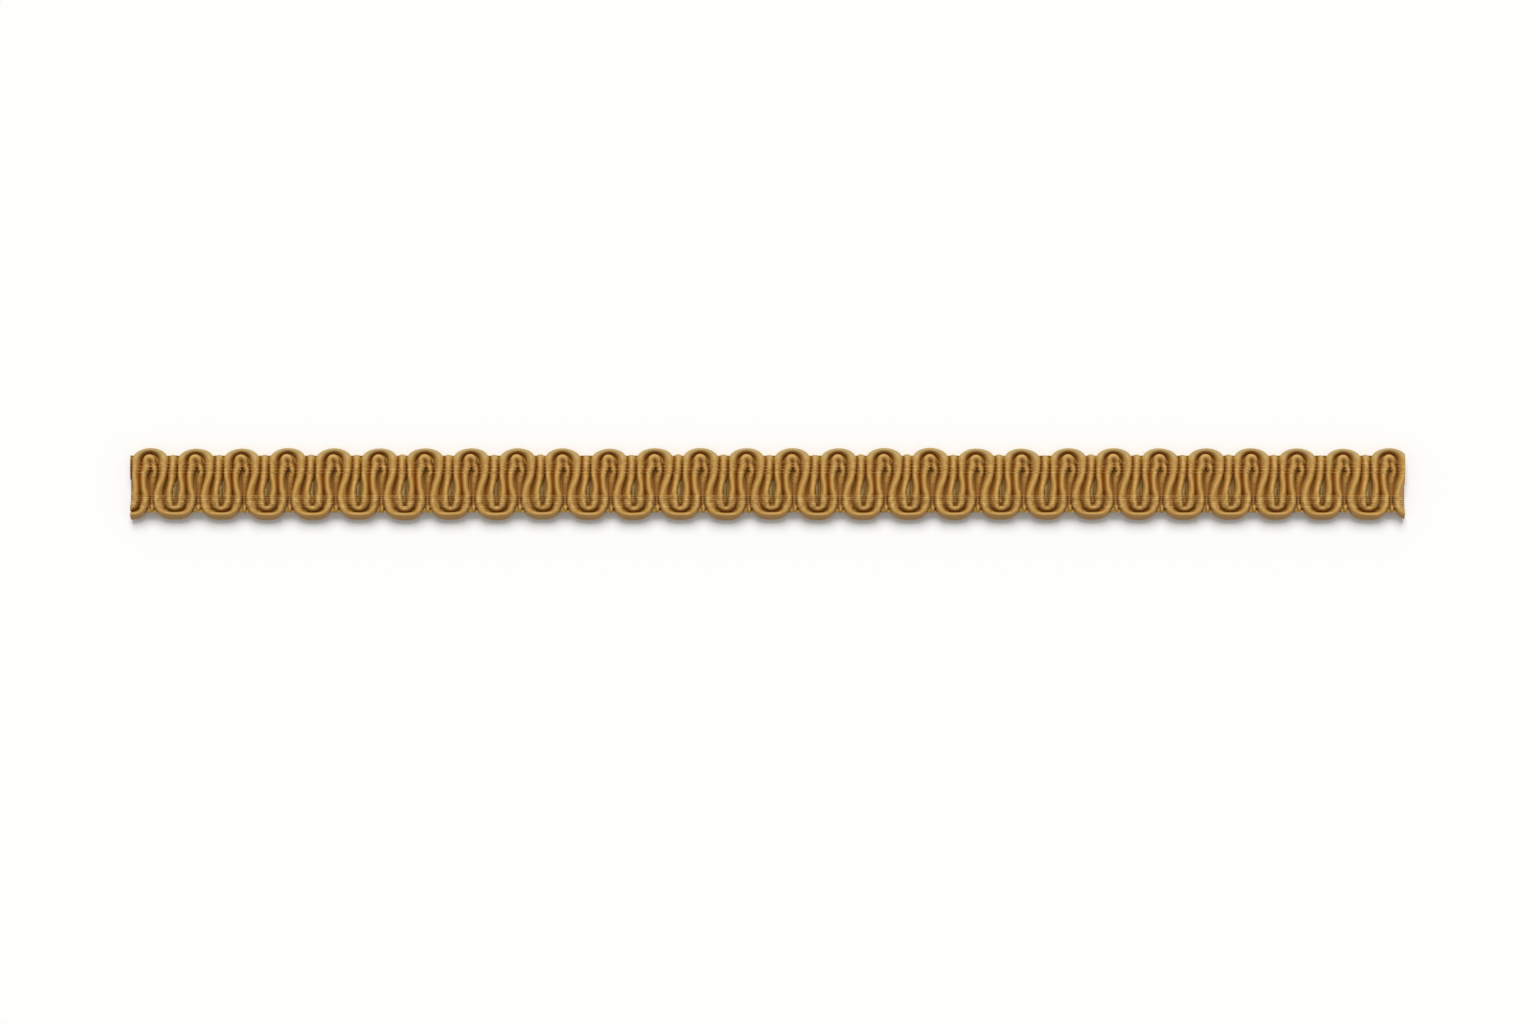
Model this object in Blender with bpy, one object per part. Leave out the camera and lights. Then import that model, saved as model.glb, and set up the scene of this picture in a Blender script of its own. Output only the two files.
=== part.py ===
"""Gimp braid trim, half-inch upholstery braid: a straight cut length lying flat, face up.

A woven ground tape carries round gimp cord laid in scrolls. Each visible run of cord starts in a
valley of the upper edge, dips into a narrow cup, climbs over an arch, swings through a wide cup
and turns back in a hairpin that ends in a valley of the lower edge. Every run nests in the next
one, so the same route repeats all along the tape.

X runs along the trim, Y across it towards the arches, Z up out of its face. The origin is the
middle of the back of the tape. Sizes are in millimetres until MM turns them to metres.
"""

from math import cos, degrees, pi, sin, sqrt
from typing import NamedTuple

import bmesh
import bpy
from mathutils import Vector

MM = 0.001

# Driving sizes of the whole trim
TRIM_LENGTH = 232.2
TRIM_WIDTH = 13.0
TAPE_WIDTH = 10.36
TAPE_THICKNESS = 1.0
CORD_DIAMETER = 1.12
GAP = 0.3

# The repeat: arches of the upper edge, counted from the left cut
PITCH = 8.365
ARCHES = 28
FIRST_ARCH = -112.6

# The last leg of each run is squeezed between its neighbours
SQUEEZED_DIAMETER = 0.66
SQUEEZE_STARTS = 2.9
SQUEEZE_ENDS = -1.2

# How finely the smooth route is drawn: a step for so much turn, and for so much length
CURVE_STEPS = 48
TURN_PER_STEP = 30.0
LENGTH_PER_STEP = 9.0
TUBE_SIDES = 6

CORD_RADIUS = CORD_DIAMETER / 2
CROWN = TRIM_WIDTH / 2 - CORD_RADIUS
TAPE_EDGE = TAPE_WIDTH / 2
VALLEY = TAPE_EDGE - 0.02
SEAT = GAP + CORD_RADIUS


class Bend(NamedTuple):
    """One turn of the cord, measured along and across from the arch's own centre line.

    The cord runs straight across the trim where the turn starts and ends. Squareness 2 is an
    ellipse, and more than 2 has fuller shoulders.
    """

    start_along: float
    start_across: float
    crown_along: float
    crown_across: float
    end_along: float
    end_across: float
    squareness: float


BENDS = (
    Bend(-4.82, -2.30, -3.68, 1.39 - CROWN, -2.42, -1.90, 2.1),
    Bend(-2.49, 3.20, 0.00, CROWN, 2.49, 3.50, 2.5),
    Bend(1.73, -2.20, 4.66, -CROWN, 7.61, -2.20, 2.1),
    Bend(7.41, 1.70, 8.46, CROWN - 1.40, 9.30, 2.70, 2.2),
)
FIRST_LEG = ((-4.22, VALLEY), (-4.22, 3.90))
LAST_LEG = ((8.85, -2.00), (8.85, -VALLEY))


def half_bend(side, crown, squareness):
    """Points from a bend's side up to its crown, a quarter of a rounded oblong."""
    points = []
    for step in range(CURVE_STEPS + 1):
        angle = pi / 2 * step / CURVE_STEPS
        along = crown[0] + (side[0] - crown[0]) * cos(angle) ** (2 / squareness)
        across = side[1] + (crown[1] - side[1]) * sin(angle) ** (2 / squareness)
        points.append((along, across))
    return points


def leg(start, end):
    """Points of a leg that leaves and arrives straight across the trim, in a gentle S."""
    points = []
    for step in range(CURVE_STEPS + 1):
        share = step / CURVE_STEPS
        sway = share * share * (3 - 2 * share)
        points.append((start[0] + (end[0] - start[0]) * sway, start[1] + (end[1] - start[1]) * share))
    return points


def route_stretches():
    """One run as stretches of closely spaced points: legs, and bends up to and down from crowns."""
    stretches = [list(FIRST_LEG)]
    here = FIRST_LEG[-1]
    for bend in BENDS:
        start = (bend.start_along, bend.start_across)
        crown = (bend.crown_along, bend.crown_across)
        end = (bend.end_along, bend.end_across)
        stretches.append(leg(here, start))
        stretches.append(half_bend(start, crown, bend.squareness))
        stretches.append(half_bend(end, crown, bend.squareness)[::-1])
        here = end
    stretches.append(leg(here, LAST_LEG[0]))
    return stretches + [list(LAST_LEG)]


def running_effort(stretch):
    """For each point, how many drawn steps the stretch needs to there, by its turn and length."""
    effort = [0.0]
    heading = None
    for here, after in zip(stretch, stretch[1:]):
        step = Vector(after) - Vector(here)
        turn = 0.0 if heading is None else degrees(heading.angle(step))
        heading = step
        effort.append(effort[-1] + turn / TURN_PER_STEP + step.length / LENGTH_PER_STEP)
    return effort


def drawn_stretch(stretch):
    """The few points that draw a stretch, evenly shared out by effort, without its first."""
    effort = running_effort(stretch)
    steps = max(1, round(effort[-1]))
    kept = []
    for step in range(1, steps):
        wanted = effort[-1] * step / steps
        kept.append(min(zip(effort, stretch), key=lambda pair: abs(pair[0] - wanted))[1])
    return kept + [stretch[-1]]


def drawn_route():
    """The few points that draw a whole run of cord."""
    points = [FIRST_LEG[0]]
    for stretch in route_stretches():
        points += drawn_stretch(stretch)
    return points


def cord_height(across):
    """Height of the cord's middle: on the tape, and rolling down over its edge."""
    overhang = max(0.0, abs(across) - TAPE_EDGE)
    return TAPE_THICKNESS + sqrt(SEAT ** 2 - overhang ** 2)


def cord_thickness(along, across):
    """Thickness as a share of the full cord, less on the squeezed last leg."""
    if along < BENDS[-1].crown_along:
        return 1.0
    share = (SQUEEZE_STARTS - across) / (SQUEEZE_STARTS - SQUEEZE_ENDS)
    share = max(0.0, min(1.0, share))
    return 1.0 + (SQUEEZED_DIAMETER / CORD_DIAMETER - 1.0) * share


def material(name, colour, roughness):
    """A plain dyed yarn finish."""
    made = bpy.data.materials.new(name)
    made.use_nodes = True
    shader = made.node_tree.nodes["Principled BSDF"]
    shader.inputs["Base Color"].default_value = (*colour, 1.0)
    shader.inputs["Roughness"].default_value = roughness
    shader.inputs["Metallic"].default_value = 0.0
    return made


def add_object(name, mesh, finish):
    """A mesh as a named object of the trim."""
    mesh.materials.clear()
    mesh.materials.append(finish)
    piece = bpy.data.objects.new(name, mesh)
    bpy.context.scene.collection.objects.link(piece)
    return piece


def cord_tube(name, points):
    """A round tube along the drawn route, as a mesh with closed ends."""
    curve = bpy.data.curves.new(name, "CURVE")
    curve.dimensions = "3D"
    curve.bevel_depth = CORD_RADIUS * MM
    curve.bevel_resolution = (TUBE_SIDES - 4) // 2
    curve.use_fill_caps = True
    spline = curve.splines.new("POLY")
    spline.points.add(len(points) - 1)
    for point, (along, across) in zip(spline.points, points):
        place = Vector((along, across, cord_height(across))) * MM
        point.co = (*place, 1.0)
        point.radius = cord_thickness(along, across)
    carrier = bpy.data.objects.new(name + "_route", curve)
    mesh = bpy.data.meshes.new_from_object(carrier)
    bpy.data.objects.remove(carrier)
    bpy.data.curves.remove(curve)
    return mesh


def cut_square(body, end):
    """Cuts a mesh off at the trim's left or right end, -1 or 1, and closes the cut."""
    cut = bmesh.ops.bisect_plane(
        body,
        geom=[*body.verts, *body.edges, *body.faces],
        plane_co=(end * TRIM_LENGTH / 2 * MM, 0, 0),
        plane_no=(end, 0, 0),
        clear_outer=True,
    )
    rim = [item for item in cut["geom_cut"] if isinstance(item, bmesh.types.BMEdge)]
    if rim:
        bmesh.ops.edgeloop_fill(body, edges=rim)


def lay_run(number, points, finish):
    """One run of cord at its own arch, cut off where it would pass the ends of the trim."""
    name = f"cord_run_{number + 1:02d}"
    mesh = cord_tube(name, points)
    body = bmesh.new()
    body.from_mesh(mesh)
    bmesh.ops.translate(body, vec=((FIRST_ARCH + number * PITCH) * MM, 0, 0), verts=body.verts)
    cut_square(body, -1)
    cut_square(body, 1)
    bmesh.ops.recalc_face_normals(body, faces=body.faces)
    body.to_mesh(mesh)
    body.free()
    mesh.shade_smooth()
    mesh.set_sharp_from_angle(angle=pi / 3)
    return add_object(name, mesh, finish)


def ground_tape(finish):
    """The flat woven tape that the cord lies on, cut square at both ends."""
    body = bmesh.new()
    bmesh.ops.create_cube(body, size=1.0)
    size = (TRIM_LENGTH * MM, TAPE_WIDTH * MM, TAPE_THICKNESS * MM)
    bmesh.ops.scale(body, vec=size, verts=body.verts)
    bmesh.ops.translate(body, vec=(0, 0, TAPE_THICKNESS / 2 * MM), verts=body.verts)
    mesh = bpy.data.meshes.new("ground_tape")
    body.to_mesh(mesh)
    body.free()
    return add_object("ground_tape", mesh, finish)


def build():
    """The whole trim, on an empty scene."""
    for old in list(bpy.data.objects):
        bpy.data.objects.remove(old)
    cord_finish = material("old_gold_gimp_cord", (0.45, 0.25, 0.07), 0.45)
    tape_finish = material("olive_gold_ground_weave", (0.24, 0.14, 0.04), 0.75)
    ground_tape(tape_finish)
    points = drawn_route()
    for number in range(-1, ARCHES):
        lay_run(number, points, cord_finish)


build()
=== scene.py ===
# %% [markdown]
# # A gimp braid trim, made in Blender
#
# Gimp braid is the narrow trim that hides the tacks along the edge of an upholstered seat. A woven
# ground tape carries a plump satin cord, laid in scrolls, and two bands of fine binding yarn tie the
# cord down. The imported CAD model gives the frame: a plain tape and plain tubes, all in their place.
# This lesson gives each of them its real shape and finish, and lights them as the photograph does.

# %% Load the frame and keep its box
from functools import partial
from math import cos, pi, radians, sin, sqrt
from typing import NamedTuple

import bmesh
import bpy
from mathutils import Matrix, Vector, noise


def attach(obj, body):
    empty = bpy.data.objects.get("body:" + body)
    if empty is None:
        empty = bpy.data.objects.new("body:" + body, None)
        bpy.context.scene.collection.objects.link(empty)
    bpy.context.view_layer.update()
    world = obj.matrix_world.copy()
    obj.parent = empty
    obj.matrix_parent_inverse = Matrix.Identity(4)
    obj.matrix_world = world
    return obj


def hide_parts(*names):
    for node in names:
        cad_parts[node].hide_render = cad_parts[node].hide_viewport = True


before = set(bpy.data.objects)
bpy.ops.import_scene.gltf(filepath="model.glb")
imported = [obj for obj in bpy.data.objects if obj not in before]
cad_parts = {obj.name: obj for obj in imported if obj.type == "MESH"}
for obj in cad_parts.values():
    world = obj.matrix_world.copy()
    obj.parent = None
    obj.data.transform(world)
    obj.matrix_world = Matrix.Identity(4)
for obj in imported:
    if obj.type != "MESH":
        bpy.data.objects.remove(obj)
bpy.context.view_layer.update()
MM = 0.001

# %% [markdown]
# Every material and every Geometry Nodes tree below is a set of nodes with links between them. One
# small function adds any node, with its settings, its values and its links. Colours are written as on
# a paint card, in sRGB hex, and another turns them into the linear light that the sockets expect.

# %% Helpers for all the node trees


def fill_inputs(node, inputs):
    """Gives a node's inputs plain values, or links from sockets and from other nodes.

    The inputs are named, or come as a list in the order that the node shows them. A node among the
    values stands for the first output that it shows.
    """
    if isinstance(inputs, dict):
        pairs = [(node.inputs[name], value) for name, value in inputs.items()]
    else:
        pairs = zip([socket for socket in node.inputs if socket.enabled], inputs)
    for socket, value in pairs:
        if isinstance(value, bpy.types.Node):
            value = next(output for output in value.outputs if output.enabled)
        if isinstance(value, bpy.types.NodeSocket):
            node.id_data.links.new(value, socket)
        else:
            socket.default_value = value


def add_node(tree, kind, inputs=(), **settings):
    """Adds one node. A word after a colon in its kind is its operation, or its type of data."""
    kind, _, choice = kind.partition(":")
    node = tree.nodes.new(kind)
    if choice:
        settings["operation" if hasattr(node, "operation") else "data_type"] = choice
    for name, value in settings.items():
        setattr(node, name, value)
    fill_inputs(node, inputs)
    return node


def linear(hex_colour):
    """An sRGB hex colour, such as C8955A, as linear red, green, blue and full alpha."""
    shares = [int(hex_colour[start:start + 2], 16) / 255 for start in (0, 2, 4)]
    lit = [share / 12.92 if share <= 0.04045 else ((share + 0.055) / 1.055) ** 2.4 for share in shares]
    return (*lit, 1.0)


def new_material(name):
    """A new material, and the shader that its finish is built on."""
    made = bpy.data.materials.new(name)
    made.use_nodes = True
    return made, made.node_tree.nodes["Principled BSDF"]


def add_object(name, data):
    """A new object in the scene."""
    made = bpy.data.objects.new(name, data)
    bpy.context.scene.collection.objects.link(made)
    return made


print("Old gold in linear light:", [round(value, 3) for value in linear("B08648")])

# %% [markdown]
# The photograph looks straight down on the trim. A level camera 779 mm up with a 100 mm lens sees
# 280 mm of the table, so the 232 mm trim has the same white margin. The picture's middle lies 5 mm
# below the trim. The view transform is Standard, so that the paper white stays white.

# %% Camera
TRIM_LENGTH = 232.2
VIEW_MIDDLE = (0.08, -5.10)
CAMERA_HEIGHT = 779.4
LENS = 100.0
SENSOR = 36.0

camera_data = bpy.data.cameras.new("overhead_camera")
camera_data.lens = LENS
camera_data.sensor_width = SENSOR
camera_data.clip_start = 0.01
camera_data.clip_end = 20.0
camera = add_object("overhead_camera", camera_data)
camera.location = [value * MM for value in (*VIEW_MIDDLE, CAMERA_HEIGHT)]
bpy.context.scene.camera = camera
bpy.context.scene.view_settings.view_transform = "Standard"
print("The camera sees", round(SENSOR / LENS * CAMERA_HEIGHT, 1), "mm of the table")

# %% [markdown]
# The shadow in the photograph is soft, lies only below the trim and ends two millimetres from it. So
# the main light stands about 45 degrees high above the upper edge, a touch to the left, and is large: a
# sun lamp with a wide disc gives the same soft edge all along. White light from all round fills it.

# %% Light
KEY_ELEVATION = radians(44.5)
KEY_TURN = radians(2.0)
KEY_DISC = radians(34.0)
KEY_STRENGTH = 2.78
FILL_STRENGTH = 0.42
FILL_COLOUR = (1.0, 1.0, 0.97, 1.0)

key_data = bpy.data.lights.new("key_light", "SUN")
key_data.energy = KEY_STRENGTH
key_data.angle = KEY_DISC
key = add_object("key_light", key_data)
level = cos(KEY_ELEVATION)
towards_key = Vector((-sin(KEY_TURN) * level, cos(KEY_TURN) * level, sin(KEY_ELEVATION)))
key.rotation_euler = towards_key.to_track_quat("Z", "Y").to_euler()

world = bpy.data.worlds.new("white_room")
world.use_nodes = True
fill_inputs(world.node_tree.nodes["Background"], {"Color": FILL_COLOUR, "Strength": FILL_STRENGTH})
bpy.context.scene.world = world
print("Key light", KEY_STRENGTH, "and fill", FILL_STRENGTH)

# %% [markdown]
# The trim lies on matt white card, the size of a table. The card is a hair lower than the back of the
# tape, so that the two faces don't lie in one plane.

# %% Table
TABLE_SIZE = 1.5
TABLE_DROP = 0.02

table_material, table_shader = new_material("matt_white_card")
fill_inputs(table_shader, {"Base Color": linear("FAFAFA"), "Roughness": 0.9, "Specular IOR Level": 0.2})
table_mesh = bpy.data.meshes.new("table")
table_body = bmesh.new()
bmesh.ops.create_grid(table_body, x_segments=1, y_segments=1, size=TABLE_SIZE)
bmesh.ops.translate(table_body, vec=(0, 0, -TABLE_DROP * MM), verts=table_body.verts)
table_body.to_mesh(table_mesh)
table_body.free()
table_mesh.materials.append(table_material)
table = add_object("table", table_mesh)
print("Table", TABLE_DROP, "mm below the trim")

# %% [markdown]
# Dyed yarn looks deeper where it lies in a groove, because the light there has bounced off its own colour
# several times. That shade is painted into the colour: an ambient occlusion node measures how open a point
# is within nine tenths of a millimetre, and the colour goes from a darker shade colour to the plain one by
# that. Low on a round cord the colour is painted darker as well, as shade, more so where a neighbour stands
# close.

# %% Painted shade in the grooves
GROOVE_REACH = 0.9
GROOVE_OPEN = 0.30
LOW_ON_CORD = 0.05
CLOSE_OPEN = 0.88
LONE_DEPTH = 0.4


def painted_groove_shade(tree, colour, shade_colour, height=None):
    """A colour with painted shade: darker in a groove, and low on a cord where its height, 0 to 1, is
    given.
    """
    add = partial(add_node, tree)
    opened = add("ShaderNodeAmbientOcclusion", {"Distance": GROOVE_REACH * MM}, samples=6).outputs["AO"]
    share = add("ShaderNodeMapRange", {"Value": opened, "From Min": GROOVE_OPEN})
    if height is not None:
        low = add("ShaderNodeMapRange", {"Value": height, "From Min": 1.0, "From Max": LOW_ON_CORD})
        close = {"Value": opened, "From Min": 1.0, "From Max": CLOSE_OPEN, "To Min": LONE_DEPTH}
        lost = add("ShaderNodeMath:MULTIPLY", [low, add("ShaderNodeMapRange", close)])
        left = add("ShaderNodeMath:SUBTRACT", [1.0, lost])
        share = add("ShaderNodeMath:MULTIPLY", [share, left])
    return add("ShaderNodeMix:RGBA", [share, shade_colour, colour])


print("Grooves deepen within", GROOVE_REACH, "mm")

# %% [markdown]
# Gimp cord is a soft cotton core under a skin of viscose floss. The floss lies nearly along the cord and
# turns slowly round it, so the eye sees fine streaks of light and darker gold. The mesh of each cord
# carries attributes: how far along it a point is, and where round it, as two numbers, sideways and upwards.
# The streaks follow those, so they bend with the cord. They come from noise that is long along the cord,
# 0.6 mm, and short round it, and from the low ridges of the ply ends, which are painted lighter on top and
# darker between them, as shade.

# %% Streaks of the floss
PLY_ENDS = 26
FLOSS_LAY = 26.0
RIDGE_FULLNESS = 0.8
STREAKS = (5.0, 5.0, 0.7)
STREAK_SCALE = 2.2
PATCHES_PER_MM = 0.42


def floss_streaks(tree, place, around):
    """How light the floss is at each point, from 0 to 1, and the height of its ply ends and fibres."""
    add = partial(add_node, tree)
    along = add("ShaderNodeAttribute", attribute_name="along").outputs["Fac"]
    angle = add("ShaderNodeMath:ARCTAN2", [around["Y"], around["X"]])
    twisted = add("ShaderNodeMath:MULTIPLY_ADD", [along, 2 * pi / FLOSS_LAY, angle])
    ends = add("ShaderNodeMath:MULTIPLY", [twisted, PLY_ENDS / 2])
    ends = add("ShaderNodeMath:SINE", [ends])
    ends = add("ShaderNodeMath:ABSOLUTE", [ends])
    ends = add("ShaderNodeMath:POWER", [ends, RIDGE_FULLNESS])
    across = add("ShaderNodeMath:COSINE", [twisted])
    up = add("ShaderNodeMath:SINE", [twisted])
    skin = add("ShaderNodeCombineXYZ", [across, up, along])
    skin = add("ShaderNodeVectorMath:MULTIPLY", [skin, STREAKS])
    fibres = {"Vector": skin, "Scale": STREAK_SCALE, "Detail": 4.0, "Roughness": 0.7}
    fibres = add("ShaderNodeTexNoise", fibres)
    patches = add("ShaderNodeTexNoise", {"Vector": place, "Scale": PATCHES_PER_MM / MM, "Detail": 2.0})
    lightness = add("ShaderNodeMath:MULTIPLY_ADD", [patches, 0.5, fibres])
    # Painted shade: lighter on the ridges of the ply ends and darker between them.
    lightness = add("ShaderNodeMath:MULTIPLY_ADD", [ends, 0.2, lightness])
    tone = add("ShaderNodeMapRange", {"Value": lightness, "From Min": 0.50, "From Max": 1.30})
    relief = add("ShaderNodeMath:MULTIPLY_ADD", [fibres, 0.6, ends])
    return tone, relief


print("The floss turns once round the cord in", FLOSS_LAY, "mm")

# %% [markdown]
# The colour of the floss carries painted light: a painted highlight on the crest, and painted shade, a dark
# red-brown, where two cords meet. Outside the arches the cord is painted a darker olive as shade, and there
# its groove shade is lighter on the side facing out. The last leg of each run, which dips between its
# neighbours, is painted a duller, darker gold as shade. A third attribute tells where: 1 for the olive
# shade, -1 for the last leg. A Mix node takes no share below 0, so the attribute can go straight into it.

# %% Finish of the gimp cord
HUES_PER_MM = 0.9
RED_SHARE = 0.28
# The painted highlight on the crest: where it starts and how strong it is.
PAINTED_HIGHLIGHT_STARTS = 0.55
PAINTED_HIGHLIGHT_SHARE = 0.22
FLOSS_RELIEF = 0.04


def satin_cord_finish():
    """Viscose floss over a cotton core: fine, nearly straight ply ends with a soft gleam, and painted
    highlight and shade in its colour.
    """
    made, shader = new_material("viscose_floss_over_cotton_core")
    add = partial(add_node, made.node_tree)
    around = add("ShaderNodeAttribute", attribute_name="around").outputs["Vector"]
    around = add("ShaderNodeSeparateXYZ", [around]).outputs
    outer = add("ShaderNodeAttribute", attribute_name="outer").outputs["Fac"]
    place = add("ShaderNodeTexCoord").outputs["Object"]
    tone, relief = floss_streaks(made.node_tree, place, around)

    gold = add("ShaderNodeMix:RGBA", [tone, linear("B08639"), linear("CFA358")])
    hues = add("ShaderNodeTexNoise", {"Vector": place, "Scale": HUES_PER_MM / MM, "Detail": 1.0})
    redder = {"Value": hues, "From Min": 0.40, "From Max": 0.65, "To Max": RED_SHARE}
    redder = add("ShaderNodeMapRange", redder)
    gold = add("ShaderNodeMix:RGBA", [redder, gold, linear("BE8A50")])
    # Painted highlight: the colour turns towards a light gold near the crest of the cord.
    crest = add("ShaderNodeMath:ABSOLUTE", [around["X"]])
    crest = add("ShaderNodeMath:SUBTRACT", [1.0, crest])
    gleam = add("ShaderNodeMapRange", {"Value": crest, "From Min": PAINTED_HIGHLIGHT_STARTS, "To Max": PAINTED_HIGHLIGHT_SHARE})
    gold = add("ShaderNodeMix:RGBA", [gleam, gold, linear("EABC62")])

    # Painted shade: a darker olive for the cord outside the arches and, a little, on the wide crowns.
    olive = add("ShaderNodeMix:RGBA", [tone, linear("927A40"), linear("B09456")])
    plain = add("ShaderNodeMix:RGBA", [outer, gold, olive])
    # Painted shade: the last leg of each run turns a duller, darker gold.
    tucked_leg_shade = add("ShaderNodeMath:MULTIPLY", [outer, -1.0], use_clamp=True)
    plain = add("ShaderNodeMix:RGBA", [tucked_leg_shade, plain, linear("9A7438")])
    # Outside the arches the painted groove shade is lighter on the side that faces out.
    outwards = add("ShaderNodeMath:MULTIPLY", [around["X"], 2.0], use_clamp=True)
    arch_outside = add("ShaderNodeMath:MULTIPLY", [outer, 2.0], use_clamp=True)
    arch_outside_flank = add("ShaderNodeMath:MULTIPLY", [arch_outside, outwards])
    shade_colour = add("ShaderNodeMix:RGBA", [arch_outside_flank, linear("985A0A"), linear("B08C34")])
    bump = add("ShaderNodeBump", {"Strength": 0.5, "Distance": FLOSS_RELIEF * MM, "Height": relief})
    fill_inputs(
        shader,
        {
            # Painted shade: the colour darkens in the grooves and low on the cord.
            "Base Color": painted_groove_shade(made.node_tree, plain, shade_colour, crest),
            "Normal": bump,
            "Roughness": 0.5,
            "Specular IOR Level": 0.45,
            "Sheen Weight": 0.12,
            "Sheen Roughness": 0.4,
            "Sheen Tint": linear("E0B060"),
        },
    )
    return made


cord_finish = satin_cord_finish()
print("Made", cord_finish.name)

# %% [markdown]
# The cord's way over the tape is drawn as a list of stations. Between two of them it runs as a leg,
# in a gentle S, or as a quarter of a rounded oblong, into a crown or out of it. Each station also says
# how wide and thick the cord is pressed there, how far its crest leans out of the bend, and how deep
# it sinks. All 29 runs share the list, because the braid repeats every 8.4 mm.

# %% The stations of one run
PITCH = 8.365
ARCHES = 28
FIRST_ARCH = -112.6
TAPE_TOP = 1.0


class Station(NamedTuple):
    """A point on the cord's way, in mm from its own arch, and the cord's section there."""

    way: str
    along: float
    across: float
    width: float
    thickness: float
    lean: float
    sink: float
    squareness: float = 2.0


STATIONS = (
    Station("start", -4.15, 5.08, 1.34, 0.60, 0.00, 0.05),
    Station("leg", -4.15, 4.75, 1.70, 1.12, 0.00, 0.00),
    Station("leg", -4.13, 3.00, 1.58, 1.38, 0.00, 0.00),
    Station("leg", -4.24, 1.50, 1.74, 1.26, 0.00, 0.06),
    Station("leg", -4.42, 0.55, 1.52, 1.30, 0.10, 0.10),
    Station("leg", -4.63, -0.25, 1.36, 1.38, 0.20, 0.03),
    Station("leg", -4.85, -1.40, 1.34, 1.50, 0.30, 0.00),
    Station("leg", -4.94, -2.20, 1.60, 1.54, 0.45, 0.00),
    Station("crown", -3.80, -4.50, 1.16, 1.28, 0.15, 0.05, 2.6),
    Station("side", -2.50, -2.20, 1.54, 1.54, 0.15, 0.00, 2.6),
    Station("leg", -2.44, -1.30, 1.38, 1.54, 0.00, 0.00),
    Station("leg", -2.43, -0.40, 1.32, 1.54, 0.00, 0.00),
    Station("leg", -2.54, 1.60, 1.44, 1.54, 0.30, 0.00),
    Station("leg", -2.46, 3.20, 1.60, 1.54, 0.32, 0.00),
    Station("leg", -2.50, 4.20, 1.72, 1.54, 0.10, 0.00),
    Station("crown", 0.05, 5.92, 1.20, 1.15, 0.45, 0.00, 1.85),
    Station("side", 2.46, 4.20, 1.96, 1.54, 0.25, 0.00, 1.85),
    Station("leg", 2.50, 3.30, 1.84, 1.54, 0.25, 0.00),
    Station("leg", 2.50, 2.20, 1.66, 1.54, 0.18, 0.00),
    Station("leg", 2.33, 1.10, 1.52, 1.52, 0.10, 0.00),
    Station("leg", 1.86, -0.80, 1.50, 1.54, -0.25, 0.00),
    Station("leg", 1.65, -2.20, 1.72, 1.54, -0.33, 0.00),
    Station("crown", 4.55, -5.84, 1.40, 1.62, 0.60, 0.00, 3.0),
    Station("side", 7.53, -2.20, 1.52, 1.54, -0.30, 0.00, 3.0),
    Station("leg", 7.28, -0.80, 1.38, 1.54, -0.20, 0.00),
    Station("leg", 7.20, 0.70, 1.30, 1.54, -0.15, 0.00),
    Station("leg", 7.25, 1.45, 1.36, 1.54, -0.10, 0.00),
    Station("leg", 7.37, 2.30, 1.46, 1.54, -0.10, 0.00),
    Station("leg", 7.72, 3.50, 1.70, 1.54, 0.00, 0.00),
    Station("crown", 8.31, 4.51, 1.88, 1.64, 0.75, 0.00, 2.0),
    Station("side", 8.98, 3.60, 1.38, 1.25, 0.10, 0.15, 2.0),
    Station("leg", 9.22, 2.80, 1.26, 1.20, 0.10, 0.10),
    Station("leg", 9.32, 2.15, 1.06, 1.10, 0.10, 0.12),
    Station("leg", 9.20, 1.70, 1.34, 1.00, 0.00, 0.16),
    Station("leg", 9.03, 1.20, 1.72, 0.84, 0.00, 0.28),
    Station("leg", 8.90, 0.55, 1.56, 0.74, 0.00, 0.32),
    Station("leg", 8.80, -0.30, 1.40, 0.58, 0.00, 0.32),
    Station("leg", 8.77, -1.30, 1.26, 0.44, 0.00, 0.28),
    Station("leg", 8.77, -2.20, 1.16, 0.38, 0.00, 0.24),
    Station("leg", 8.79, -3.85, 1.10, 0.40, 0.00, 0.20),
    Station("leg", 8.84, -4.20, 0.96, 0.90, 0.00, 0.00),
    Station("leg", 8.86, -4.55, 1.05, 1.00, 0.00, 0.00),
    Station("leg", 8.84, -4.88, 0.80, 0.85, 0.00, 0.00),
    Station("leg", 8.80, -5.10, 0.60, 0.40, 0.00, 0.00),
)
print(len(STATIONS), "stations from the upper valley to the lower one")

# %% [markdown]
# The stations become a dense line: a point every 0.15 mm, with its width, thickness, lean and sink.
# Each stretch between two stations is first drawn with 60 points, and then the whole line is measured
# and divided evenly, so that the faces of the cord come out equally long.

# %% From stations to a dense line
STRETCH_STEPS = 60
STEP = 0.15


def smooth(share):
    """Eases a share from 0 to 1, with no kink at either end, and keeps it between them."""
    share = min(1.0, max(0.0, share))
    return share * share * (3 - 2 * share)


def blend_numbers(first, second, share):
    """The numbers between two equally long rows of numbers."""
    return [a + (b - a) * share for a, b in zip(first, second)]


def slant(index):
    """How much a leg moves along for each mm across where it passes a station: none beside a bend."""
    if index == 0 or index == len(STATIONS) - 1:
        return 0.0
    before, here, after = STATIONS[index - 1:index + 2]
    if here.way != "leg" or after.way != "leg":
        return 0.0
    return (after.along - before.along) / (after.across - before.across)


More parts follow.
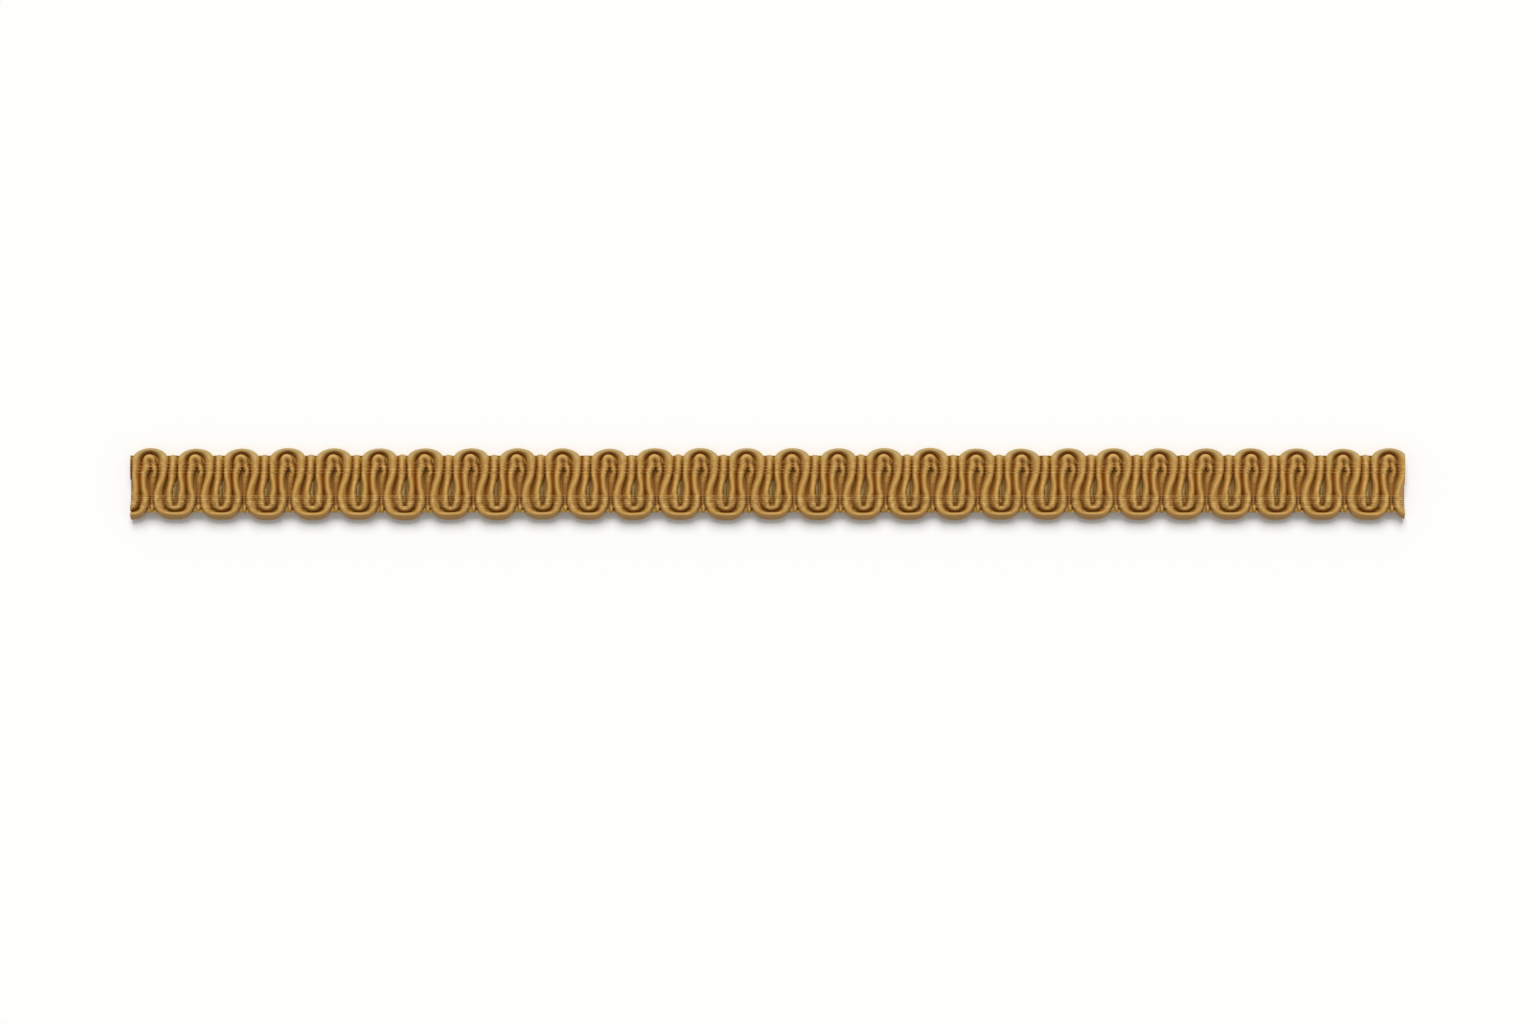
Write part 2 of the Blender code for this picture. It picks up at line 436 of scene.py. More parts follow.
def stretch_points(index):
    """Rows of along, across, width, thickness, lean and sink, from one station to the next."""
    here, there = STATIONS[index:index + 2]
    rows = []
    for step in range(1, STRETCH_STEPS + 1):
        share = step / STRETCH_STEPS
        if there.way == "leg":
            rise = there.across - here.across
            leaving = share * (1 - share) ** 2 * slant(index) * rise
            arriving = share ** 2 * (share - 1) * slant(index + 1) * rise
            along = here.along + (there.along - here.along) * smooth(share) + leaving + arriving
            across = here.across + rise * share
        else:
            side, crown = (here, there) if there.way == "crown" else (there, here)
            turn = pi / 2 * (share if there.way == "crown" else 1 - share)
            power = 2 / there.squareness
            along = crown.along + (side.along - crown.along) * cos(turn) ** power
            across = side.across + (crown.across - side.across) * sin(turn) ** power
        rows.append([along, across, *blend_numbers(here[3:7], there[3:7], smooth(share))])
    return rows


def run_rows():
    """One whole run as evenly spaced rows, with the length run so far as the last number."""
    first = STATIONS[0]
    rough = [[first.along, first.across, *first[3:7]]]
    for index in range(len(STATIONS) - 1):
        rough += stretch_points(index)
    run = [0.0]
    for a, b in zip(rough, rough[1:]):
        run.append(run[-1] + sqrt((b[0] - a[0]) ** 2 + (b[1] - a[1]) ** 2))
    count = round(run[-1] / STEP)
    rows = []
    place = 0
    for step in range(count + 1):
        wanted = run[-1] * step / count
        while place < len(run) - 2 and run[place + 1] < wanted:
            place += 1
        share = (wanted - run[place]) / max(run[place + 1] - run[place], 1e-9)
        rows.append([*blend_numbers(rough[place], rough[place + 1], share), wanted])
    return rows


RUN_ROWS = run_rows()
print(len(RUN_ROWS), "points,", round(RUN_ROWS[-1][6], 1), "mm of cord in a run")

# %% [markdown]
# The two bands of binding yarn press the cord flatter where they cross it, and a bit more under each
# yarn. There are four yarns in the upper band, and seven in the lower one, which lie closer.

# %% Where the binding presses the cord
BAND_MARGIN = 0.55
BAND_EASE = 0.30
BAND_PRESS = 0.06
YARN_PRESS = 0.008


class Band(NamedTuple):
    """A band of binding yarns: where its first yarn lies across, and how the yarns are laid, in mm."""

    name: str
    first: float
    spacing: float
    yarns: int
    width: float
    pull: int


BANDS = (
    Band("upper_binding_band", 3.79, 0.58, 4, 0.17, 1),
    Band("lower_binding_band", -2.20, 0.33, 7, 0.20, 4),
)


def pressed(across):
    """The share of its thickness that a cord loses under a binding band."""
    for band in BANDS:
        last = band.first - band.spacing * (band.yarns - 1)
        inside = (min(band.first - across, across - last) + BAND_MARGIN) / BAND_EASE
        if inside > 0:
            wave = 0.5 + 0.5 * cos(2 * pi * (across - band.first) / band.spacing)
            return smooth(inside) * (BAND_PRESS + YARN_PRESS * wave)
    return 0.0


print("A cord loses", round(pressed(BANDS[0].first) * 100, 1), "% of its thickness under a yarn")

# %% [markdown]
# The cord's finish has to know where shade is painted on it. Outside the arches the cord is painted a
# darker olive as shade, and a little of the wide crowns below as well. The last leg of a run, which dips
# between its neighbours, is painted darker as shade.

# %% Where shade is painted on the cord
TURNS_BACK = 6.0
OUTER_STARTS = 3.8
OUTER_EASE = 1.5
CROWN_SHARE = 0.18
CROWN_STARTS = 4.7
LAST_LEG = 8.7
TUCK_STARTS = 1.6
TUCK_EASE = 2.2
TUCK_ENDS = -4.2
TUCK_END_EASE = 0.4


def painted_shade_share(along, across):
    """1 outside an arch, where the cord is painted olive as shade, -1 on the last leg, painted darker as
    shade, 0 elsewhere.
    """
    if along > LAST_LEG:
        return -smooth(min((TUCK_STARTS - across) / TUCK_EASE, (across - TUCK_ENDS) / TUCK_END_EASE))
    if along > TURNS_BACK:
        return 0.0
    if across < 0:
        return CROWN_SHARE * smooth(-across - CROWN_STARTS)
    return smooth((across - OUTER_STARTS) / OUTER_EASE)


print("Shade_painted", round(painted_shade_share(0.0, TRIM_LENGTH), 2), "outside an arch")

# %% [markdown]
# A loom never lays two scrolls quite alike. Noise that varies slowly over the trim moves each point by up
# to a tenth of a millimetre. Neighbours move together, so they never run into each other. Where the cord
# swings past the edge of the tape it droops, because nothing carries it there.

# %% A route mesh for each run
WANDER = 0.16
WANDER_SIZE = (7.0, 6.0)
UNEVEN_LENGTH = 1.6
UNEVEN_WIDTH = 0.035
PLUMP_LENGTH = 4.0
PLUMP_THICKNESS = 0.05
PLUMP_LEAN = 0.12
CREST_SHARE = 0.6
DROOP = 0.50
DROOP_STARTS = 4.3
DROOP_ENDS = 5.85


def wander(along, across):
    """How far the loom's unevenness moves a point, in mm."""
    moved = noise.noise_vector(Vector((along / WANDER_SIZE[0], across / WANDER_SIZE[1], 3.7)))
    return moved.x * WANDER, moved.y * WANDER


def route_mesh(number):
    """A line of points for one run, each with the section and the directions that the sweep needs."""
    points = []
    section = {"width": [], "thickness": [], "lean": [], "outer": [], "along": []}
    for along, across, width, thickness, lean, sink, run in RUN_ROWS:
        x = FIRST_ARCH + number * PITCH + along
        dx, dy = wander(x, across)
        droop = DROOP * smooth((abs(across) - DROOP_STARTS) / (DROOP_ENDS - DROOP_STARTS))
        height = TAPE_TOP + thickness * (1 - CREST_SHARE) - sink - droop
        uneven = noise.noise(Vector((run / UNEVEN_LENGTH, number * 5.3, 0.5)))
        plump = noise.noise(Vector((run / PLUMP_LENGTH, number * 3.1, 8.5)))
        points.append(Vector((x + dx, across + dy, height)) * MM)
        section["width"].append(width * (1 + UNEVEN_WIDTH * uneven) * MM)
        section["thickness"].append(thickness * (1 + PLUMP_THICKNESS * plump - pressed(across + dy)) * MM)
        section["lean"].append(lean + PLUMP_LEAN * plump)
        section["outer"].append(painted_shade_share(along, across))
        section["along"].append(run)
    mesh = bpy.data.meshes.new(f"gimp_cord_{number + 1:02d}_route")
    mesh.from_pydata(points, [(n, n + 1) for n in range(len(points) - 1)], [])
    before = [points[0], *points[:-1]]
    after = [*points[1:], points[-1]]
    ahead = [(b - a).normalized() for a, b in zip(before, after)]
    sides = [Vector((-step.y, step.x, 0.0)).normalized() for step in ahead]
    ups = [step.cross(side) for step, side in zip(ahead, sides)]
    for name, values in section.items():
        mesh.attributes.new(name, "FLOAT", "POINT").data.foreach_set("value", values)
    for name, vectors in (("side", sides), ("up", ups)):
        values = [value for vector in vectors for value in vector]
        mesh.attributes.new(name, "FLOAT_VECTOR", "POINT").data.foreach_set("vector", values)
    return mesh


print("A run has", len(route_mesh(0).vertices), "route points")

# %% [markdown]
# Three Geometry Nodes trees make the pieces: one sweeps a cord, one weaves the tape and one lays a
# band of yarns. All begin with named inputs, and end by making the shape real and giving it its finish.

# %% How each tree begins and ends


def begin_tree(name, inputs, output):
    """A tree with named inputs, each with its kind or the number that it starts from."""
    tree = bpy.data.node_groups.new(name, "GeometryNodeTree")
    for title, start in inputs.items():
        kind = {int: "Int", float: "Float"}.get(type(start), start)
        socket = tree.interface.new_socket(title, in_out="INPUT", socket_type=f"NodeSocket{kind}")
        if kind != start:
            socket.default_value = start
    tree.interface.new_socket(output, in_out="OUTPUT", socket_type="NodeSocketGeometry")
    return tree, add_node(tree, "NodeGroupInput").outputs


def end_tree(tree, shape, finish, spent=()):
    """Drops the attributes that are spent, and hands out the smooth, real shape with its finish."""
    for name in spent:
        shape = add_node(tree, "GeometryNodeRemoveAttribute", {"Geometry": shape, "Name": name})
    shape = add_node(tree, "GeometryNodeSetShadeSmooth", {"Geometry": shape, "Shade Smooth": True})
    shape = add_node(tree, "GeometryNodeRealizeInstances", [shape])
    shape = add_node(tree, "GeometryNodeSetMaterial", {"Geometry": shape, "Material": finish})
    add_node(tree, "NodeGroupOutput", [shape])
    return tree


print("Trees begin with named inputs and end in Set Material")

# %% [markdown]
# The first tree sweeps the section along the route. It first sweeps a tiny round tube, so each point of
# the skin knows which way round the cord it sits. Then it puts that point on the real section: an oval
# as wide and thick as the route says, with a peaked crest, sheared so that it leans out of the bend.

# %% The tree that sweeps a cord
PROBE = 0.0001
CORD_SIDES = 20
PEAK = 1.6
STORED = {"FLOAT_VECTOR": ("centre", "side", "up"), "FLOAT": ("width", "thickness", "lean")}


def cord_sweep_tree():
    """Sweeps an oval, leaning section along a route mesh."""
    inputs = {"Route": "Geometry", "Sides": CORD_SIDES, "Peak": PEAK, "Finish": "Material"}
    tree, given = begin_tree("sweep_gimp_cord", inputs, "Cord")
    add = partial(add_node, tree)
    stored = {}
    for kind, names in STORED.items():
        for name in names:
            stored[name] = add(f"GeometryNodeInputNamedAttribute:{kind}", [name])

    place = add("GeometryNodeInputPosition")
    line = add("GeometryNodeMeshToCurve", [given["Route"]])
    centre = {"Geometry": line, "Name": "centre", "Value": place}
    line = add("GeometryNodeStoreNamedAttribute:FLOAT_VECTOR", centre)
    line = add("GeometryNodeSetCurveNormal", [line], mode="Z_UP")
    ring = add("GeometryNodeCurvePrimitiveCircle", {"Resolution": given["Sides"], "Radius": 1.0})
    skin = add("GeometryNodeCurveToMesh", [line, ring, PROBE, True])
    out = add("ShaderNodeVectorMath:SUBTRACT", [place, stored["centre"]])
    out = add("ShaderNodeVectorMath:SCALE", [out, 1 / PROBE])
    sideways = add("ShaderNodeVectorMath:DOT_PRODUCT", [out, stored["side"]])
    upwards = add("ShaderNodeVectorMath:DOT_PRODUCT", [out, stored["up"]])
    around = add("ShaderNodeCombineXYZ", [sideways, upwards])
    around = {"Geometry": skin, "Name": "around", "Value": around}
    skin = add("GeometryNodeStoreNamedAttribute:FLOAT_VECTOR", around)

    sheared = add("ShaderNodeMath:MULTIPLY_ADD", [upwards, stored["lean"], sideways])
    spread = add("ShaderNodeMath:MULTIPLY_ADD", [stored["lean"], stored["lean"], 1.0])
    spread = add("ShaderNodeMath:SQRT", [spread])
    off_side = add("ShaderNodeMath:DIVIDE", [sheared, spread])
    half_width = add("ShaderNodeMath:MULTIPLY", [stored["width"], 0.5])
    off_side = add("ShaderNodeMath:MULTIPLY", [half_width, off_side])
    crest = add("ShaderNodeMath:MAXIMUM", [upwards, 0.0])
    crest = add("ShaderNodeMath:POWER", [crest, given["Peak"]])
    foot = add("ShaderNodeMath:MINIMUM", [upwards, 0.0])
    foot = add("ShaderNodeMath:MULTIPLY", [foot, 1 - CREST_SHARE])
    off_up = add("ShaderNodeMath:MULTIPLY_ADD", [crest, CREST_SHARE, foot])
    off_up = add("ShaderNodeMath:MULTIPLY", [stored["thickness"], off_up])
    target = stored["centre"]
    for way, off in (("side", off_side), ("up", off_up)):
        moved = add("ShaderNodeVectorMath:SCALE", [stored[way], off])
        target = add("ShaderNodeVectorMath:ADD", [target, moved])
    skin = add("GeometryNodeSetPosition", {"Geometry": skin, "Position": target})
    return end_tree(tree, skin, given["Finish"], spent=stored)


cord_tree = cord_sweep_tree()
print("Tree with", len(cord_tree.nodes), "nodes")

# %% [markdown]
# A modifier runs the tree on each route, and the result is copied into a plain mesh. Only plain meshes
# are handed to the frame. The first and last runs pass the ends of the trim, where the shears cut it
# square, so a plane cuts them and the cut is closed. The cords' cut stands a hair past the tape's, so
# that the two cut faces don't lie in one plane.

# %% Make and cut the cords
CUT_PROUD = 0.04


def node_result(name, source, tree, values):
    """The plain mesh that a Geometry Nodes tree makes of a source mesh."""
    carrier = add_object(name, source)
    modifier = carrier.modifiers.new("shape", "NODES")
    modifier.node_group = tree
    for item in tree.interface.items_tree:
        if item.item_type == "SOCKET" and item.name in values:
            modifier[item.identifier] = values[item.name]
    graph = bpy.context.evaluated_depsgraph_get()
    mesh = bpy.data.meshes.new_from_object(carrier.evaluated_get(graph))
    carrier.modifiers.remove(modifier)
    bpy.data.objects.remove(carrier)
    bpy.data.meshes.remove(source)
    mesh.name = name
    return mesh


def cut_square(mesh, end):
    """Cuts a cord off past the trim's left or right end, -1 or 1, and closes the cut."""
    body = bmesh.new()
    body.from_mesh(mesh)
    cut = bmesh.ops.bisect_plane(
        body,
        geom=[*body.verts, *body.edges, *body.faces],
        plane_co=(end * (TRIM_LENGTH / 2 + CUT_PROUD) * MM, 0, 0),
        plane_no=(end, 0, 0),
        clear_outer=True,
    )
    rim = [item for item in cut["geom_cut"] if isinstance(item, bmesh.types.BMEdge)]
    if rim:
        made = bmesh.ops.edgeloop_fill(body, edges=rim)
        for face in made["faces"]:
            face.smooth = False
            for edge in face.edges:
                edge.smooth = False
        bmesh.ops.recalc_face_normals(body, faces=body.faces)
    body.to_mesh(mesh)
    body.free()


cords = []
for number in range(-1, ARCHES):
    name = f"gimp_cord_{number + 1:02d}"
    mesh = node_result(name, route_mesh(number), cord_tree, {"Finish": cord_finish})
    # Only the first two and the last two runs reach an end.
    if number < 1 or number > ARCHES - 3:
        cut_square(mesh, -1)
        cut_square(mesh, 1)
    cords.append(add_object(name, mesh))
print(len(cords), "cords with", sum(len(cord.data.polygons) for cord in cords), "faces")

# %% [markdown]
# The ground tape is a firm warp-faced weave. Little of it shows from the front: a paler, olive patch on the
# swollen floor of each narrow cup, and browner cloth beside the cords. Near the edges the cloth is painted
# darker and more olive, as shade, and its painted groove shade there is lighter. Its ribs run across the
# trim. They are drawn a bit coarser than real ones, so that they show.

# %% The weave and the bare patches of the ground tape
RIB = 0.34
WARP = 0.30
FUZZ_PER_MM = 2.6
TAPE_PATCHES_PER_MM = 0.26
BARE_MIDDLE = -0.47
BARE_REACH = 1.78
BARE_EASE = 0.1
BARE_CUP = 4.25
BARE_CUP_REACH = 1.15
BARE_CUP_EASE = 0.2
BARE_RISE = (0.98, 1.10)


def within(tree, value, middle, reach, ease):
    """1 near a middle and 0 past the reach from it, with a slope as long as the ease, all in mm."""
    add = partial(add_node, tree)
    off = add("ShaderNodeMath:SUBTRACT", [value, middle * MM])
    off = add("ShaderNodeMath:ABSOLUTE", [off])
    left = add("ShaderNodeMath:SUBTRACT", [reach * MM, off])
    return add("ShaderNodeMath:DIVIDE", [left, ease * MM], use_clamp=True)


def past_arch(tree, along):
    """How far a point is past the middle of the last arch, whichever repeat it lies in."""
    past = add_node(tree, "ShaderNodeMath:SUBTRACT", [along, FIRST_ARCH * MM])
    return add_node(tree, "ShaderNodeMath:FLOORED_MODULO", [past, PITCH * MM])


def rib_weave(tree, place, x, y):
    """How light the weave is at each point, from 0 to 1, and its height."""
    add = partial(add_node, tree)
    waves = []
    for way, spacing in ((x, RIB), (y, WARP)):
        turn = add("ShaderNodeMath:MULTIPLY", [way, 2 * pi / (spacing * MM)])
        waves.append(add("ShaderNodeMath:SINE", [turn]))
    weave = add("ShaderNodeMath:MULTIPLY", waves)
    fuzz = add("ShaderNodeTexNoise", {"Vector": place, "Scale": FUZZ_PER_MM / MM, "Detail": 3.0})
    patches = add("ShaderNodeTexNoise", {"Vector": place, "Scale": TAPE_PATCHES_PER_MM / MM, "Detail": 2.0})
    lightness = add("ShaderNodeMath:MULTIPLY_ADD", [weave, 0.06, fuzz])
    lightness = add("ShaderNodeMath:MULTIPLY_ADD", [patches, 0.4, lightness])
    tone = add("ShaderNodeMapRange", {"Value": lightness, "From Min": 0.35, "From Max": 1.05})
    relief = add("ShaderNodeMath:MULTIPLY_ADD", [fuzz, 0.8, weave])
    return tone, relief


def bare_share(tree, x, y, z):
    """1 on the raised floor of a narrow cup, where the bare ground shows, and 0 elsewhere."""
    raised = {"Value": z, "From Min": BARE_RISE[0] * MM, "From Max": BARE_RISE[1] * MM}
    raised = add_node(tree, "ShaderNodeMapRange", raised)
    in_middle = within(tree, y, BARE_MIDDLE, BARE_REACH, BARE_EASE)
    in_cup = within(tree, past_arch(tree, x), BARE_CUP, BARE_CUP_REACH, BARE_CUP_EASE)
    bare = add_node(tree, "ShaderNodeMath:MINIMUM", [in_middle, in_cup])
    return add_node(tree, "ShaderNodeMath:MINIMUM", [bare, raised])


print("A rib every", RIB, "mm")

# %% [markdown]
# Cotton and viscose together look matt with a faint sheen. The finish mixes three pairs of colours by the
# weave's tone, for the bare patch, the middle and the edges, and each has its own darker colour of painted
# shade for the grooves.

# %% Finish of the ground tape
GROUND_MIDDLE = 0.55
GROUND_REACH = 3.45
GROUND_EASE = 0.6
WEAVE_RELIEF = 0.03


def ground_finish():
    """Cotton and viscose rib weave: matt, olive gold, with ribs across and fine warps along."""
    made, shader = new_material("cotton_rib_weave")
    tree = made.node_tree
    add = partial(add_node, tree)
    place = add("ShaderNodeTexCoord").outputs["Object"]
    x, y, z = add("ShaderNodeSeparateXYZ", [place]).outputs
    tone, relief = rib_weave(tree, place, x, y)
    bare = bare_share(tree, x, y, z)
    inner = within(tree, y, GROUND_MIDDLE, GROUND_REACH, GROUND_EASE)
    olive = add("ShaderNodeMix:RGBA", [tone, linear("94783C"), linear("BEA266")])
    dyed = add("ShaderNodeMix:RGBA", [tone, linear("805A20"), linear("A67C3C")])
    # Painted shade: near the edges the plain colour is darker and more olive.
    edge = add("ShaderNodeMix:RGBA", [tone, linear("7A5C20"), linear("947436")])
    dyed = add("ShaderNodeMix:RGBA", [inner, edge, dyed])
    # Near the edges the painted groove shade is lighter.
    dyed_shade_colour = add("ShaderNodeMix:RGBA", [inner, linear("B48E38"), linear("986A24")])
    plain = add("ShaderNodeMix:RGBA", [bare, dyed, olive])
    shade_colour = add("ShaderNodeMix:RGBA", [bare, dyed_shade_colour, linear("6E521C")])
    bump = add("ShaderNodeBump", {"Strength": 0.5, "Distance": WEAVE_RELIEF * MM, "Height": relief})
    fill_inputs(
        shader,
        {
            # Painted shade: the tape's colour darkens in the grooves.
            "Base Color": painted_groove_shade(tree, plain, shade_colour),
            "Normal": bump,
            "Roughness": 0.78,
            "Sheen Weight": 0.2,
            "Sheen Tint": linear("D4BC80"),
        },
    )
    return made


tape_finish = ground_finish()
print("Made", tape_finish.name)

# %% [markdown]
# Both the tape and the binding yarn have to know where the cords lie. So the finished cords are put in
# one collection, and the trees shoot rays at it. A ray straight up from the tape that hits a cord marks
# a covered place, where the tape stays flat. Between the cords it may rise, because they press into it
# beside the gap: as a pad on the floor of each narrow cup, and as a raised edge in the notches.

# %% The heights of the tape
TAPE_WIDTH = 10.36
BARE_BLUR = 3
RAY_UP = 10.0
SWELL = 0.95
SWELL_MIDDLE = -1.50
SWELL_REACH = 2.35
SWELL_EASE = 0.5
CUP_MIDDLE = 4.25
CUP_REACH = 0.60
CUP_EASE = 0.15
SLOPE_STARTS = 4.1
SLOPE_LENGTH = 0.9
SLOPE_DROP = 0.75
SELVEDGE = 0.85
SELVEDGE_STARTS = 3.65
SELVEDGE_EASE = 0.5
NOTCH_MIDDLE = 2.345
NOTCH_SWING = 1.905
NOTCH_REACH = 1.15
NOTCH_EASE = 0.2

laid_cords = bpy.data.collections.new("laid_cords")
for cord in cords:
    laid_cords.objects.link(cord)


def cast_rays(tree, laid, place, direction, length):
    """Whether and where a ray from each point meets what is laid there."""
    ray = {"Target Geometry": laid, "Source Position": place, "Ray Direction": (0.0, 0.0, direction)}
    return add_node(tree, "GeometryNodeRaycast", {**ray, "Ray Length": length * MM}).outputs


def tape_top(tree, given, laid):
    """The height of the tape's top at each point of a flat grid."""
    add = partial(add_node, tree)
    place = add("GeometryNodeInputPosition")
    x, y, _ = add("ShaderNodeSeparateXYZ", [place]).outputs
    bare = add("ShaderNodeMath:SUBTRACT", [1.0, cast_rays(tree, laid, place, 1.0, RAY_UP)["Is Hit"]])
    bare = add("GeometryNodeBlurAttribute", [bare, BARE_BLUR])
    bare = add("ShaderNodeMath:MULTIPLY", [bare, 2.0], use_clamp=True)

    past = past_arch(tree, x)
    slope = add("ShaderNodeMath:SUBTRACT", [past, SLOPE_STARTS * MM])
    slope = add("ShaderNodeMath:DIVIDE", [slope, SLOPE_LENGTH * MM], use_clamp=True)
    slope = add("ShaderNodeMath:MULTIPLY_ADD", [slope, -SLOPE_DROP, 1.0])
    in_middle = within(tree, y, SWELL_MIDDLE, SWELL_REACH, SWELL_EASE)
    in_cup = within(tree, past, CUP_MIDDLE, CUP_REACH, CUP_EASE)

    rim = add("ShaderNodeMath:ABSOLUTE", [y])
    rim = add("ShaderNodeMath:SUBTRACT", [rim, SELVEDGE_STARTS * MM])
    rim = add("ShaderNodeMath:DIVIDE", [rim, SELVEDGE_EASE * MM], use_clamp=True)
    notch = add("ShaderNodeMath:SIGN", [y])
    notch = add("ShaderNodeMath:MULTIPLY_ADD", [notch, NOTCH_SWING * MM, (NOTCH_MIDDLE - PITCH / 2) * MM])
    from_notch = past_arch(tree, add("ShaderNodeMath:SUBTRACT", [x, notch]))
    in_notch = within(tree, from_notch, PITCH / 2, NOTCH_REACH, NOTCH_EASE)

    top = given["Thickness"]
    for height, shares in (("Swell", (in_cup, in_middle, slope)), ("Selvedge", (rim, in_notch))):
        rise = bare
        for share in shares:
            rise = add("ShaderNodeMath:MULTIPLY", [rise, share])
        top = add("ShaderNodeMath:MULTIPLY_ADD", [rise, given[height], top])
    return top


print("The tape rises up to", max(SWELL, SELVEDGE), "mm between the cords")

# %% [markdown]
# The tape could be a box with its top moved, but then its faces would be uneven beside the pads. Here a
# fine grid is lifted to those heights and extruded down to a flat back, and the seam is merged.

# %% Weave the tape
TAPE_GRID = (930, 44)
SEAM = 0.001
SHARP_ANGLE = pi / 3


def tape_tree():
    """A closed strip: a top that swells between the cords, a flat back, and thin sides."""
    sizes = {"Length": TRIM_LENGTH, "Width": TAPE_WIDTH, "Thickness": TAPE_TOP}
    sizes.update({"Swell": SWELL, "Selvedge": SELVEDGE})
    sizes = {name: size * MM for name, size in sizes.items()}
    inputs = {"Start": "Geometry", **sizes, "Cords": "Collection", "Finish": "Material"}
    tree, given = begin_tree("weave_ground_tape", inputs, "Tape")
    add = partial(add_node, tree)
    laid = add("GeometryNodeRealizeInstances", [add("GeometryNodeCollectionInfo", [given["Cords"]])])
    grid = add("GeometryNodeMeshGrid", [given["Length"], given["Width"], *TAPE_GRID])
    rise = add("ShaderNodeCombineXYZ", {"Z": tape_top(tree, given, laid)})
    face = add("GeometryNodeSetPosition", {"Geometry": grid, "Offset": rise})
    back = {"Mesh": face, "Offset Scale": 0.0, "Individual": False}
    back = add("GeometryNodeExtrudeMesh", back, mode="FACES")
    x, y, _ = add("ShaderNodeSeparateXYZ", [add("GeometryNodeInputPosition")]).outputs
    flat = add("ShaderNodeCombineXYZ", [x, y])
    walls = {"Geometry": back, "Selection": back.outputs["Top"], "Position": flat}
    walls = add("GeometryNodeSetPosition", walls)
    whole = add("GeometryNodeJoinGeometry", [walls])
    fill_inputs(whole, [add("GeometryNodeFlipFaces", [face])])
    whole = add("GeometryNodeMergeByDistance", {"Geometry": whole, "Distance": SEAM * MM})
    return end_tree(tree, whole, given["Finish"])


tape_values = {"Cords": laid_cords, "Finish": tape_finish}
tape_mesh = node_result("woven_ground_tape", bpy.data.meshes.new("tape_start"), tape_tree(), tape_values)
body = bmesh.new()
body.from_mesh(tape_mesh)
bmesh.ops.recalc_face_normals(body, faces=body.faces)
body.to_mesh(tape_mesh)
body.free()
tape_mesh.set_sharp_from_angle(angle=SHARP_ANGLE)
tape = add_object("woven_ground_tape", tape_mesh)
print("Tape with", len(tape_mesh.polygons), "faces")

# %% [markdown]
# Two bands of binding yarn hold the scrolls. The yarn is two plies of viscose, so it shines a little and
# its twist slants. Its light and dark patches are about as small as a cord's width, because each yarn
# is seen best where it rides over a cord.

# %% Finish of the binding yarn
YARN_TWIST = 0.24
TWIST_SLANT = 1.4
YARN_PATCHES_PER_MM = 1.3
YARN_RELIEF = 0.03


def yarn_finish():
    """Two-ply viscose yarn: a soft gleam, a fine twist and small patches of light and dark."""
    made, shader = new_material("two_ply_viscose_yarn")
    add = partial(add_node, made.node_tree)
    place = add("ShaderNodeTexCoord").outputs["Object"]
    x, y, _ = add("ShaderNodeSeparateXYZ", [place]).outputs
    ply = add("ShaderNodeMath:MULTIPLY_ADD", [y, TWIST_SLANT, x])
    ply = add("ShaderNodeMath:MULTIPLY", [ply, 2 * pi / (YARN_TWIST * MM)])
    ply = add("ShaderNodeMath:SINE", [ply])
    patches = add("ShaderNodeTexNoise", {"Vector": place, "Scale": YARN_PATCHES_PER_MM / MM, "Detail": 2.0})
    lightness = add("ShaderNodeMath:MULTIPLY_ADD", [ply, 0.10, patches])
    tone = add("ShaderNodeMapRange", {"Value": lightness, "From Min": 0.34, "From Max": 0.68})
    colour = add("ShaderNodeMix:RGBA", [tone, linear("94682C"), linear("F2CC7A")])
    bump = add("ShaderNodeBump", {"Strength": 0.4, "Distance": YARN_RELIEF * MM, "Height": ply})
    fill_inputs(
        shader,
        {
            # Painted shade: the yarn's colour darkens in the grooves.
            "Base Color": painted_groove_shade(made.node_tree, colour, linear("9A6418")),
            "Normal": bump,
            "Roughness": 0.5,
            "Sheen Weight": 0.15,
            "Sheen Tint": linear("E8C890"),
        },
    )
    return made


binding_finish = yarn_finish()
print("Made", binding_finish.name)

# %% [markdown]
# Each yarn lies over the cords and dips between them without reaching the ground, because it is pulled
# tight. A tree lays each one as a straight line above the braid, drops it on the cords with rays, and
# lets blurring stand for the pull: where the blurred height is above the true one, the yarn bridges the
# gap. It sinks into the cord by a small share of its own thickness.

# %% The tree that lays a band of yarns
YARN_THICKNESS = 0.12
YARN_STEP = 0.12
YARN_SIDES = 6
YARN_SINK = 0.15
ABOVE_BRAID = 5.0
RAY_DOWN = 4.0


def dropped_yarns(tree, given, yarns, laid):
    """Drops straight yarns on what is laid below them, and bridges the gaps."""
    add = partial(add_node, tree)
    place = add("GeometryNodeInputPosition")
    x, y, _ = add("ShaderNodeSeparateXYZ", [place]).outputs
    ray = cast_rays(tree, laid, place, -1.0, RAY_DOWN)
    found = add("ShaderNodeSeparateXYZ", [ray["Hit Position"]]).outputs["Z"]
    found = add("ShaderNodeMath:MULTIPLY", [found, ray["Is Hit"]])
    lowest = add("ShaderNodeMath:MULTIPLY", [given["Thickness"], 0.5])
    lowest = add("ShaderNodeMath:ADD", [lowest, TAPE_TOP * MM])
    found = add("ShaderNodeMath:MAXIMUM", [found, lowest])
    blurred = add("GeometryNodeBlurAttribute", [found, given["Pull"]])
    height = add("ShaderNodeMath:MAXIMUM", [found, blurred])
    height = add("ShaderNodeMath:MULTIPLY_ADD", [given["Thickness"], -YARN_SINK, height])
    target = add("ShaderNodeCombineXYZ", [x, y, height])
    return add("GeometryNodeSetPosition", {"Geometry": yarns, "Position": target})


